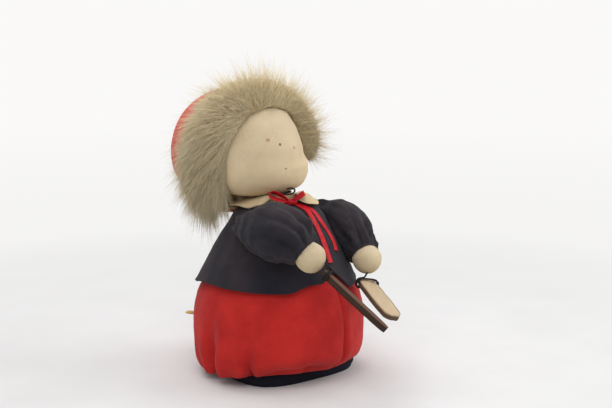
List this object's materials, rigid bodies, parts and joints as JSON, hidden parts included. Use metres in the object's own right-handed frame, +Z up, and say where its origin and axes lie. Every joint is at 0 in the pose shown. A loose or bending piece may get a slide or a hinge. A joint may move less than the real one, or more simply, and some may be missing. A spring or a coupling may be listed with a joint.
{
  "type": "stuffed cloth doll",
  "caption": "Stuffed cloth doll in a dark jacket, red felt trousers and a fur-edged red hood, holding little wooden boards on cords.",
  "frame": {"origin": "centre of the flat underside of the sole that the doll stands on", "axes": "+Z up; the doll's front looks along -Y; the doll's right hand is on -X"},
  "size_m": [0.1103, 0.177, 0.1925],
  "materials": {
    "red_felt": "thick woollen felt, matte and slightly fuzzy",
    "navy_cloth": "matte navy-black woven cloth",
    "jacket_cotton": "matte charcoal-navy woven cotton",
    "cream_cotton": "matte cream woven cotton",
    "wool_stuffing": "loose wool",
    "grey_fur": "long soft grey-beige fur",
    "red_satin": "glossy red satin ribbon",
    "pale_wood": "pale sawn wood with a darker edge",
    "brown_wood": "weathered brown wood",
    "black_wire": "black lacquered wire",
    "cream_thread": "matte cotton thread",
    "black_cord": "matte black cord",
    "pink_thread": "matte pink thread",
    "dark_thread": "matte dark thread",
    "peg_wood": "ochre peeled wood"
  },
  "bodies": {
    "torso": {"base_sole": "navy_cloth", "trousers": "red_felt", "trousers_stuffing": "wool_stuffing", "back_peg": "peg_wood", "torso": "cream_cotton", "jacket": "jacket_cotton", "neckband": "cream_cotton", "collar_flap_right": "cream_cotton", "collar_flap_left": "cream_cotton", "bow_knot": "red_satin", "bow_loop_right": "red_satin", "bow_loop_left": "red_satin", "ribbon_tail_right": "red_satin", "ribbon_tail_left": "red_satin", "hook": "black_wire"},
    "head": {"head": "cream_cotton", "neck_thread": "cream_thread", "nose_stitch": "dark_thread", "mouth_stitch": "dark_thread", "eye_stitch_right": "pink_thread", "eye_stitch_left": "pink_thread", "hood": "red_felt", "fur_trim": "grey_fur"},
    "arm_right": {"sleeve_right": "jacket_cotton", "hand_right": "cream_cotton", "wrist_thread_right": "cream_thread"},
    "arm_left": {"sleeve_left": "jacket_cotton", "hand_left": "cream_cotton", "wrist_thread_left": "cream_thread"},
    "board_right": {"board_right": "brown_wood", "board_tie_right": "black_cord"},
    "board_left": {"board_left": "pale_wood", "board_tie_left": "black_cord"}
  },
  "joints": [
    {"name": "neck_turn", "type": "hinge", "parent": "torso", "child": "head", "pos_m": [0, 0, 0.1105], "axis": [0, 0, 1], "range_deg": [-10, 10]},
    {"name": "shoulder_right_raise", "type": "hinge", "parent": "torso", "child": "arm_right", "pos_m": [-0.031, 0.002, 0.102], "axis": [-1, 0, 0], "range_deg": [0, 22]},
    {"name": "shoulder_left_raise", "type": "hinge", "parent": "torso", "child": "arm_left", "pos_m": [0.031, 0.002, 0.102], "axis": [-1, 0, 0], "range_deg": [0, 22]},
    {"name": "board_right_swing", "type": "hinge", "parent": "arm_right", "child": "board_right", "pos_m": [-0.0233, -0.06128, 0.08296], "axis": [-0.9113, -0.4117, 0], "range_deg": [-8, 15]},
    {"name": "board_left_swing", "type": "hinge", "parent": "arm_left", "child": "board_left", "pos_m": [0.02463, -0.05399, 0.06792], "axis": [-0.9067, 0.4218, 0], "range_deg": [-5, 15]}
  ]
}
